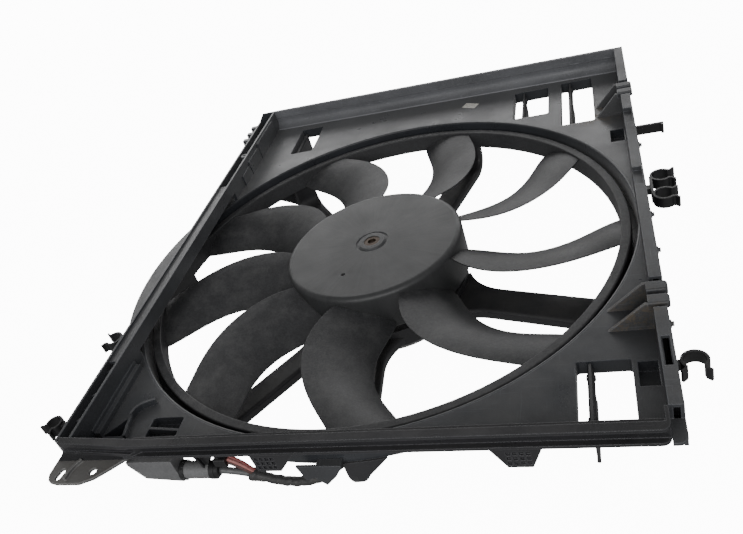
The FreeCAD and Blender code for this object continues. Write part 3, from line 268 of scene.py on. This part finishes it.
def moulded(name, colour, rough=0.5, grain=0.5, dust=0.25, dust_colour=(0.15, 0.145, 0.135), edge=0.0007,
            edge_wear_and_highlight=0.5, scuffs=0.4, mud=None, film=0.0):
    """Moulded plastic: grain, wipe marks, fine scratches, dust on top, dried mud, and paler edges that are
    partly worn plastic and partly a painted highlight.
    """
    made = Shader(name, colour, rough)
    made.surface.inputs["Sheen Weight"].default_value = film
    made.surface.inputs["Sheen Roughness"].default_value = 0.45
    smudge = made.ranged(made.noise(9.0, 5.0, 0.6), 0.3, 0.7)
    base = made.mixed(smudge, tinted(colour, 0.66), tinted(colour, 1.35))
    wipe_place = made.stretched((7.0, 60.0, 30.0), (0.0, 0.0, 0.5))
    wipes = made.ranged(made.noise(1.0, 3.0, 0.5, wipe_place), 0.4, 0.8)
    base = made.mixed(made.maths("MULTIPLY", wipes, 0.3), base, tinted(colour, 2.6))
    specks = made.ranged(made.noise(900.0, 3.0), 0.4, 0.75)
    base = made.mixed(made.maths("MULTIPLY", specks, 0.3), base, tinted(colour, 2.6))
    scratch_place = made.stretched((26.0, 900.0, 900.0), (0.3, 0.2, 0.6))
    scratches = made.ranged(made.noise(1.0, 2.0, 0.5, scratch_place), 0.66, 0.74)
    other_place = made.stretched((800.0, 30.0, 800.0), (0.1, 0.4, -0.4))
    others = made.ranged(made.noise(1.0, 2.0, 0.5, other_place), 0.67, 0.75)
    marks = made.maths("MULTIPLY", made.maths("MAXIMUM", scratches, others), scuffs)
    base = made.mixed(marks, base, tinted(colour, 3.4))
    clumps = made.ranged(made.noise(38.0, 6.0, 0.6), 0.25, 0.85)
    settled = made.maths("MULTIPLY", made.maths("MULTIPLY", clumps, made.upward()), dust)
    base = made.mixed(settled, base, dust_colour)
    # Paler sharp edges: partly worn plastic, partly a painted highlight along the rims.
    edges = made.maths("MULTIPLY", made.worn_and_highlit_edges(edge * 2.0), edge_wear_and_highlight)
    base = made.mixed(edges, base, tinted(colour, 4.5))
    if mud:
        caked = made.mud_round(mud)
        base = made.mixed(caked, base, MUD_COLOUR)
        settled = made.maths("MAXIMUM", settled, caked)
    made.colour(base)
    sheen_noise = made.ranged(made.noise(22.0, 5.0, 0.65), 0.25, 0.75, rough - 0.10, rough + 0.12)
    made.rough(made.maths("ADD", sheen_noise, made.maths("MULTIPLY", settled, 0.35)))
    skin = made.bump(made.noise(2600.0, 2.0, 0.5), GRAIN, grain, made.soft_edges(edge))
    made.normal(made.bump(made.noise(30.0, 2.0), 0.0002, 0.3, skin))
    return made.material


def fan_hub_plastic():
    """Satin grey disc with faint rays from its middle, rings near the boss and a darker rim."""
    colour = (0.032, 0.033, 0.034)
    made = Shader("fan_hub_plastic", colour, 0.42)
    parts = made.add("ShaderNodeSeparateXYZ")
    made.link(made.place, parts.inputs["Vector"])
    angle = made.maths("ARCTAN2", parts.outputs["Y"], parts.outputs["X"])
    ray_place = made.add("ShaderNodeCombineXYZ")
    made.link(made.maths("MULTIPLY", angle, HUB_RAYS), ray_place.inputs["X"])
    flat = made.add("ShaderNodeVectorMath", operation="MULTIPLY")
    flat.inputs[1].default_value = (1, 1, 0)
    made.link(made.place, flat.inputs[0])
    length = made.add("ShaderNodeVectorMath", operation="LENGTH")
    made.link(flat.outputs["Vector"], length.inputs[0])
    radius = length.outputs["Value"]
    made.link(made.maths("MULTIPLY", radius, 9.0), ray_place.inputs["Y"])
    rays = made.ranged(made.noise(1.0, 6.0, 0.7, ray_place.outputs["Vector"]), 0.35, 0.7)
    smudge = made.ranged(made.noise(14.0, 5.0, 0.6), 0.3, 0.7)
    base = made.mixed(rays, tinted(colour, 0.78), tinted(colour, 1.2))
    base = made.mixed(made.maths("MULTIPLY", smudge, 0.5), base, tinted(colour, 1.5))
    wipe_place = made.stretched((12.0, 45.0, 20.0), (0, 0, 0.9))
    wiped = made.ranged(made.noise(1.0, 5.0, 0.65, wipe_place), 0.5, 0.72)
    base = made.mixed(made.maths("MULTIPLY", wiped, 0.35), base, tinted(colour, 2.0))
    rings = made.maths("SINE", made.maths("MULTIPLY", radius, HUB_RINGS), 0.0)
    near_boss = made.ranged(radius, *BOSS_RINGS, 0.30, 0.0)
    ringed = made.maths("MULTIPLY", made.ranged(rings, -1.0, 1.0), near_boss)
    base = made.mixed(ringed, base, tinted(colour, 0.5))
    low = made.ranged(parts.outputs["Z"], *HUB_RIM, 0.75, 0.0)
    base = made.mixed(low, base, tinted(colour, 0.5))
    specks = made.ranged(made.noise(1500.0, 2.0), 0.4, 0.75)
    base = made.mixed(made.maths("MULTIPLY", specks, 0.2), base, tinted(colour, 2.2))
    # Paler edges round the hub: partly rubbed plastic, partly a painted highlight on the rim.
    rubbed_and_highlit = made.maths("MULTIPLY", made.worn_and_highlit_edges(0.0026), 0.6)
    made.colour(made.mixed(rubbed_and_highlit, base, tinted(colour, 4.0)))
    satin = made.ranged(made.noise(25.0, 5.0), 0.25, 0.75, 0.36, 0.52)
    made.rough(made.maths("SUBTRACT", satin, made.maths("MULTIPLY", low, 0.2)))
    skin = made.bump(made.noise(2400.0, 2.0), GRAIN, 0.45, made.soft_edges(0.0012))
    made.normal(made.bump(rays, 0.0001, 0.4, skin))
    return made.material


def blade_plastic():
    """Grained dark blades, dustier towards the trailing side, with a faint flow pattern."""
    colour = (0.025, 0.0255, 0.027)
    made = Shader("blade_plastic", colour, 0.5)
    smudge = made.ranged(made.noise(16.0, 6.0, 0.65, distort=0.6), 0.3, 0.72)
    base = made.mixed(smudge, tinted(colour, 0.75), tinted(colour, 1.35))
    specks = made.ranged(made.noise(650.0, 4.0, 0.7), 0.42, 0.7)
    base = made.mixed(made.maths("MULTIPLY", specks, 0.5), base, tinted(colour, 3.0))
    film = made.maths("MULTIPLY", made.ranged(made.noise(60.0, 6.0, 0.7), 0.45, 0.7), made.upward())
    base = made.mixed(made.maths("MULTIPLY", film, 0.35), base, (0.13, 0.13, 0.128))
    # Paler sharp edges: partly worn plastic, partly a painted highlight.
    edges = made.maths("MULTIPLY", made.worn_and_highlit_edges(0.0012), 0.3)
    made.colour(made.mixed(edges, base, tinted(colour, 3.5)))
    made.rough(made.ranged(made.noise(30.0, 5.0), 0.25, 0.75, 0.42, 0.6))
    made.normal(made.bump(made.noise(1800.0, 3.0), 0.0002, 0.7, made.soft_edges(0.0008)))
    return made.material


def metal(name, colour, rough, brushed=(900.0, 12.0, 900.0), rust=0.0):
    """Bare metal with fine machining lines, blotches and optional rust."""
    made = Shader(name, colour, rough, 1.0)
    lines = made.noise(1.0, 3.0, 0.6, made.stretched(brushed))
    blotch = made.ranged(made.noise(120.0, 5.0, 0.6), 0.3, 0.7)
    base = made.mixed(blotch, tinted(colour, 0.8), tinted(colour, 1.15))
    if rust:
        rusty = made.maths("MULTIPLY", made.ranged(made.noise(320.0, 5.0, 0.7), 0.38, 0.6), rust)
        base = made.mixed(rusty, base, (0.085, 0.042, 0.022))
        made.link(made.maths("SUBTRACT", 1.0, rusty), made.surface.inputs["Metallic"])
    made.colour(base)
    made.rough(made.ranged(lines, 0.2, 0.8, rough - 0.08, rough + 0.12))
    made.normal(made.bump(lines, 0.00005, 0.5, made.soft_edges(0.0004)))
    return made.material


def cast_metal(name, colour, rough=0.5):
    """Cast aluminium: pebbled skin with darker pits."""
    made = Shader(name, colour, rough, 0.85)
    pits = made.ranged(made.cells(700.0), 0.1, 0.6)
    base = made.mixed(pits, tinted(colour, 0.7), tinted(colour, 1.1))
    film = made.ranged(made.noise(40.0, 5.0, 0.7), 0.45, 0.7)
    made.colour(made.mixed(made.maths("MULTIPLY", film, 0.4), base, (0.16, 0.15, 0.135)))
    made.rough(made.ranged(made.noise(90.0, 4.0), 0.3, 0.7, rough - 0.08, rough + 0.15))
    made.normal(made.bump(pits, 0.0002, 0.6, made.soft_edges(0.0008)))
    return made.material


def rubber(name, colour, rough=0.62):
    """Dull rubber with a bloom and fine pits."""
    made = Shader(name, colour, rough)
    bloom = made.ranged(made.noise(90.0, 5.0, 0.7), 0.4, 0.7)
    base = made.mixed(made.maths("MULTIPLY", bloom, 0.5), tinted(colour, 0.9), tinted(colour, 2.2))
    made.colour(base)
    made.rough(made.ranged(bloom, 0.0, 1.0, rough - 0.1, rough + 0.15))
    made.normal(made.bump(made.noise(1800.0, 3.0), 0.0001, 0.6, made.soft_edges(0.0006)))
    return made.material


def board_lacquer():
    """Circuit board: green lacquer with copper tracks under it."""
    colour = (0.02, 0.10, 0.045)
    made = Shader("board_lacquer", colour, 0.35)
    tracks = made.ranged(made.cells(160.0, "DISTANCE_TO_EDGE"), 0.02, 0.05, 1.0, 0.0)
    base = made.mixed(made.maths("MULTIPLY", tracks, 0.6), colour, (0.09, 0.20, 0.07))
    made.colour(made.mixed(made.ranged(made.noise(300.0), 0.4, 0.7), base, tinted(colour, 0.7)))
    made.normal(made.bump(tracks, 0.0001, 0.5))
    return made.material


def copper_coils():
    """Enamelled copper, wound in close turns."""
    colour = (0.55, 0.20, 0.07)
    made = Shader("copper_coils", colour, 0.3, 0.9)
    turns = made.waves(420.0, "Z", distort=0.3)
    made.colour(made.mixed(turns, tinted(colour, 0.4), colour))
    made.rough(made.ranged(made.noise(200.0), 0.3, 0.7, 0.25, 0.42))
    made.normal(made.bump(turns, 0.0004, 1.0))
    return made.material


def laminated_steel():
    """Stack of thin steel sheets."""
    colour = (0.30, 0.30, 0.31)
    made = Shader("laminated_steel", colour, 0.4, 1.0)
    sheets = made.waves(900.0, "Z")
    made.colour(made.mixed(sheets, tinted(colour, 0.5), colour))
    made.rough(made.ranged(made.noise(150.0), 0.3, 0.7, 0.35, 0.5))
    made.normal(made.bump(sheets, 0.0001, 0.7))
    return made.material


def sintered_magnet():
    """Dark grey ceramic with a fine matt skin."""
    colour = (0.06, 0.06, 0.063)
    made = Shader("sintered_magnet", colour, 0.6, 0.2)
    blotch = made.ranged(made.noise(500.0, 4.0), 0.3, 0.7)
    made.colour(made.mixed(blotch, tinted(colour, 0.7), tinted(colour, 1.3)))
    made.rough(made.ranged(made.noise(60.0), 0.3, 0.7, 0.5, 0.7))
    made.normal(made.bump(made.noise(1500.0), 0.0001, 0.5))
    return made.material


def label_film():
    """Plain worn label with paler worn patches and small darker spots."""
    colour = (0.58, 0.56, 0.51)
    made = Shader("label_film", colour, 0.45)
    worn = made.ranged(made.noise(420.0, 6.0, 0.75), 0.42, 0.62)
    base = made.mixed(worn, colour, (0.88, 0.86, 0.80))
    made.colour(made.mixed(made.ranged(made.noise(900.0, 3.0), 0.58, 0.72), base, (0.30, 0.29, 0.27)))
    made.rough(made.ranged(worn, 0.0, 1.0, 0.35, 0.6))
    made.normal(made.bump(worn, 0.0001, 0.5))
    return made.material


def wire_skin(name, colour):
    """Soft insulation with a faint grime."""
    made = Shader(name, colour, 0.42)
    grime = made.ranged(made.noise(260.0, 5.0, 0.7), 0.42, 0.68)
    made.colour(made.mixed(made.maths("MULTIPLY", grime, 0.55), colour, tinted(colour, 0.35)))
    made.rough(made.ranged(grime, 0.0, 1.0, 0.35, 0.6))
    made.normal(made.bump(made.noise(900.0), 0.0001, 0.4))
    return made.material


def loom_tape():
    """Black cloth tape with weave, grime and shiny rubbed spots."""
    colour = (0.040, 0.040, 0.041)
    made = Shader("loom_tape", colour, 0.5)
    weave = made.maths("MULTIPLY", made.waves(900.0, "DIAGONAL"), made.waves(900.0, "Z"))
    grime = made.ranged(made.noise(150.0, 5.0, 0.7), 0.45, 0.7)
    made.colour(made.mixed(made.maths("MULTIPLY", grime, 0.6), colour, (0.075, 0.072, 0.066)))
    made.rough(made.ranged(made.noise(90.0, 4.0), 0.3, 0.7, 0.36, 0.62))
    creases = made.bump(made.noise(420.0, 4.0), 0.0006, 0.8)
    made.normal(made.bump(weave, 0.0001, 0.4, creases))
    return made.material


def dress(material, *names):
    for name in names:
        nodes[name].data.materials.clear()
        nodes[name].data.materials.append(material)


def mesh_piece(name, verts, faces, material):
    """A smoothly shaded piece that rides on the shroud."""
    mesh = bpy.data.meshes.new(name)
    mesh.from_pydata(verts, [], faces)
    mesh.update()
    mesh.polygons.foreach_set("use_smooth", [True] * len(mesh.polygons))
    mesh.materials.append(material)
    piece = bpy.data.objects.new(name, mesh)
    bpy.context.scene.collection.objects.link(piece)
    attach(piece, "shroud")
    return piece


def smooth_line(points, steps=14):
    """Points along the NURBS spline that has the given control points."""
    curve = bpy.data.curves.new("line", "CURVE")
    curve.dimensions = "3D"
    curve.resolution_u = steps
    spline = curve.splines.new("NURBS")
    spline.points.add(len(points) - 1)
    for place, point in zip(spline.points, points):
        place.co = (*point, 1)
    spline.order_u = 3
    spline.use_endpoint_u = True
    holder = bpy.data.objects.new("line", curve)
    bpy.context.scene.collection.objects.link(holder)
    bpy.context.view_layer.update()
    mesh = bpy.data.meshes.new_from_object(holder)
    line = [vertex.co.copy() for vertex in mesh.vertices]
    bpy.data.objects.remove(holder)
    bpy.data.meshes.remove(mesh)
    return line


def swept(name, line, radius_at, material, around):
    """A tube along a line; radius_at(distance, angle) gives its radius."""
    side = Vector((0, 0, 1)).cross(line[1] - line[0]).normalized()
    distance = 0.0
    verts = []
    for index, centre in enumerate(line):
        ahead = line[min(index + 1, len(line) - 1)] - line[max(index - 1, 0)]
        ahead.normalize()
        side = (side - ahead * side.dot(ahead)).normalized()
        up = ahead.cross(side)
        if index:
            distance += (centre - line[index - 1]).length
        for turn in range(around):
            angle = 2 * math.pi * turn / around
            reach = radius_at(distance, angle)
            verts.append(centre + (side * math.cos(angle) + up * math.sin(angle)) * reach)
    faces = []
    for index in range(len(line) - 1):
        for turn in range(around):
            after = (turn + 1) % around
            first, second = index * around, (index + 1) * around
            faces.append((first + turn, first + after, second + after, second + turn))
    faces.append(tuple(range(around))[::-1])
    faces.append(tuple(range((len(line) - 1) * around, len(line) * around)))
    return mesh_piece(name, [tuple(v) for v in verts], faces, material)


def finely_spaced(line, gap):
    """The same line with a point about every gap metres."""
    fine = [line[0]]
    for start, end in zip(line, line[1:]):
        count = max(1, math.ceil((end - start).length / gap))
        fine += [start.lerp(end, step / count) for step in range(1, count + 1)]
    return fine


def taped_radius(length):
    """Overlapping turns of tape, each a little over the last, and thicker where the wires come in."""
    def radius_at(distance, angle):
        turn = (distance / TAPE_PITCH + angle / (2 * math.pi)) % 1.0
        ripple = TAPE_RIPPLE * math.sin(RIPPLES * distance / TAPE_PITCH)
        mouth = TAPE_MOUTH * math.exp(-((length - distance - MOUTH_BACK) / MOUTH_REACH) ** 2)
        return LEAD_R - TAPE_STEP * turn + ripple + mouth
    return radius_at


def motor_lead():
    """The taped loom from the motor, and the bare grey sleeve that leaves it for the plug."""
    line = smooth_line(LEAD_ROUTE)
    loom = [point for point in line if point.x > SLEEVE_ENDS_X]
    sleeve = [point for point in line if point.x <= SLEEVE_ENDS_X + SLEEVE_LAP]
    length = sum((after - before).length for before, after in zip(loom, loom[1:]))
    rings = finely_spaced(loom, LOOM_GAP)
    tape = swept("lead_loom", rings, taped_radius(length), loom_tape(), LOOM_SIDES)
    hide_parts("motor_lead")
    grey = moulded("sleeve_plastic", (0.11, 0.112, 0.115), 0.38, 0.3, 0.1, edge=0.0003, edge_wear_and_highlight=0.1)
    rings = finely_spaced(sleeve, SLEEVE_GAP)
    tube = swept("lead_sleeve", rings, lambda distance, angle: SLEEVE_R, grey, SLEEVE_SIDES)


def power_wires():
    for index, (route, tint) in enumerate(zip(WIRE_ROUTES, WIRE_COLOURS)):
        skin = wire_skin(f"wire_skin_{tint}", WIRE_COLOURS[tint])
        rings = finely_spaced(smooth_line(route), WIRE_GAP)
        wire = swept(f"power_wire_{index + 1}", rings, lambda distance, angle: WIRE_R, skin, WIRE_SIDES)
        if index == 0:
            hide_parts("power_wires")


def finishes():
    panel_plastic = moulded("panel_plastic", (0.022, 0.024, 0.028), 0.30, 0.4, 0.25, mud=FAR_MUD, film=0.25)
    dress(panel_plastic, "panel_face", "left_channel", "latch_rib", "flap_sockets", "collar")
    wall_plastic = moulded("wall_plastic", (0.040, 0.042, 0.046), 0.44, 0.4, 0.25, edge_wear_and_highlight=0.6, mud=NEAR_MUD)
    dress(wall_plastic, "right_wall", "hooks", "snap_pegs", "lead_clip")
    # Far wall: the wall plastic with a much paler base colour, painted light standing in for light falling
    # on its inner face.
    dress(moulded("far_wall_painted_light", (0.105, 0.108, 0.116), 0.46, 0.4, 0.25, edge_wear_and_highlight=0.4), "far_wall")
    shaded = moulded("shaded_plastic", (0.020, 0.020, 0.022), 0.26, 0.2, 0.15, edge_wear_and_highlight=0.9)
    dress(shaded, "near_wall", "collar_lip", "near_tabs")
    # Mounting ear: paler than the walls, partly real dust and partly painted light standing in for light
    # from low on the near left.
    dust_and_painted_light = moulded("dusty_plastic", (0.11, 0.109, 0.108), 0.48, 0.5, 0.5, (0.19, 0.175, 0.15), edge_wear_and_highlight=0.6)
    dress(dust_and_painted_light, "mounting_ear")
    muddy = moulded("gusset_plastic", (0.060, 0.061, 0.063), 0.46, 0.4, 0.4, edge_wear_and_highlight=0.6, mud=NEAR_MUD)
    dress(muddy, "hook_gussets")
    dress(moulded("arm_plastic", (0.022, 0.022, 0.024), 0.4, 0.4, 0.3), "stator_arms", "motor_mount_ring")
    clip_plastic = moulded("clip_plastic", (0.011, 0.011, 0.012), 0.34, 0.3, 0.1, edge=0.0005, edge_wear_and_highlight=0.7)
    dress(clip_plastic, "hose_clip_near_right", "hose_clip_double", "hose_clip_paddle",
          "hose_clip_left_middle", "hose_clip_left_near")
    flap_plastic = moulded("flap_plastic", (0.030, 0.030, 0.032), 0.45, 0.35, 0.3)
    dress(flap_plastic, "flap_near_right", "flap_far_inner", "flap_far_outer", "flap_far_left")
    dress(fan_hub_plastic(), "fan_hub")
    dress(blade_plastic(), "fan_blades", "fan_ring")
    dress(metal("insert_metal", (0.10, 0.082, 0.066), 0.5, rust=0.45), "hub_insert")
    dress(metal("shaft_steel", (0.13, 0.11, 0.095), 0.42, rust=0.5), "motor_shaft")
    dress(metal("bell_steel", (0.45, 0.45, 0.46), 0.35, (8.0, 8.0, 900.0), rust=0.1), "rotor_bell")
    dress(metal("bearing_steel", (0.56, 0.56, 0.57), 0.25), "front_bearing", "rear_bearing")
    dress(metal("screw_zinc", (0.50, 0.50, 0.47), 0.35, rust=0.15), "motor_screws")
    dress(cast_metal("cast_aluminium", (0.36, 0.36, 0.365)), "motor_base", "motor_case")
    dress(sintered_magnet(), "rotor_magnets")
    dress(laminated_steel(), "stator_core")
    dress(copper_coils(), "stator_windings")
    dress(board_lacquer(), "circuit_board")
    dress(rubber("gland_rubber", (0.016, 0.016, 0.016)), "cable_gland")
    dress(rubber("seal_rubber", (0.014, 0.014, 0.015), 0.5), "plug_seal")
    grey = moulded("connector_grey", (0.12, 0.121, 0.124), 0.40, 0.35, 0.25, edge_wear_and_highlight=0.25)
    dress(grey, "plug_housing")
    dress(moulded("plug_grey", (0.15, 0.151, 0.154), 0.38, 0.3, 0.2, edge_wear_and_highlight=0.25), "plug_body")
    dark = moulded("dark_plastic", (0.014, 0.014, 0.015), 0.4, 0.3, 0.1, edge_wear_and_highlight=0.6)
    dress(dark, "plug_collar", "wire_plug", "plug_latch")
    dress(label_film(), "blank_label")


def floor():
    """Pale paper floor, curving up into a round backdrop, that glows so that it's white behind the part."""
    made = Shader("studio_paper", (0.9, 0.9, 0.9), 0.9)
    made.colour(made.mixed(made.noise(3.0), (0.88, 0.88, 0.88), (0.93, 0.93, 0.93)))
    made.normal(made.bump(made.noise(400.0), 0.0001, 0.2))
    made.surface.inputs["Emission Color"].default_value = (1, 1, 1, 1)
    made.surface.inputs["Emission Strength"].default_value = FLOOR_GLOW
    verts = []
    for radius, height in FLOOR_RINGS:
        for turn in range(FLOOR_TURNS):
            angle = 2 * math.pi * turn / FLOOR_TURNS
            verts.append((radius * math.cos(angle), radius * math.sin(angle), height))
    faces = [tuple(range(FLOOR_TURNS))]
    for ring in range(len(FLOOR_RINGS) - 1):
        for turn in range(FLOOR_TURNS):
            after = (turn + 1) % FLOOR_TURNS
            inner, outer = ring * FLOOR_TURNS, (ring + 1) * FLOOR_TURNS
            faces.append((inner + turn, outer + turn, outer + after, inner + after))
    mesh = bpy.data.meshes.new("floor")
    mesh.from_pydata(verts, [], faces)
    mesh.update()
    mesh.materials.append(made.material)
    ground = bpy.data.objects.new("floor", mesh)
    ground.location = (0, 0, cad_box[0].z - FLOOR_DROP)
    ground.visible_diffuse = False
    ground.visible_glossy = False
    ground.visible_shadow = False
    bpy.context.scene.collection.objects.link(ground)


def soft_box(name, place, target, size, power):
    """A rectangular lamp that shines from its place at its target."""
    lamp = bpy.data.lights.new(name, "AREA")
    lamp.shape = "RECTANGLE"
    lamp.size, lamp.size_y = size
    lamp.energy = power
    holder = bpy.data.objects.new(name, lamp)
    holder.location = place
    holder.rotation_euler = (Vector(target) - Vector(place)).to_track_quat("-Z", "Y").to_euler()
    holder.visible_camera = False
    bpy.context.scene.collection.objects.link(holder)


def lights():
    """A wide, low light beyond the far side, a weak one over the near side, and a dim room."""
    world = bpy.data.worlds.new("studio")
    bpy.context.scene.world = world
    world.use_nodes = True
    world.node_tree.nodes["Background"].inputs["Color"].default_value = (1, 1, 1, 1)
    world.node_tree.nodes["Background"].inputs["Strength"].default_value = ROOM_LIGHT
    soft_box("far_light", **FAR_LIGHT)
    soft_box("near_light", **NEAR_LIGHT)


def camera():
    lens = bpy.data.cameras.new("camera")
    lens.sensor_width = SENSOR
    lens.lens = LENS
    lens.shift_x, lens.shift_y = SHIFT
    lens.clip_start = NEAREST_SEEN
    holder = bpy.data.objects.new("camera", lens)
    turn = Matrix((CAMERA_RIGHT, -CAMERA_DOWN, -CAMERA_FORWARD)).transposed()
    holder.matrix_world = Matrix.Translation(CAMERA_AT) @ turn.to_4x4()
    bpy.context.scene.collection.objects.link(holder)
    bpy.context.scene.camera = holder


camera()
motor_lead()
power_wires()
finishes()
floor()
lights()
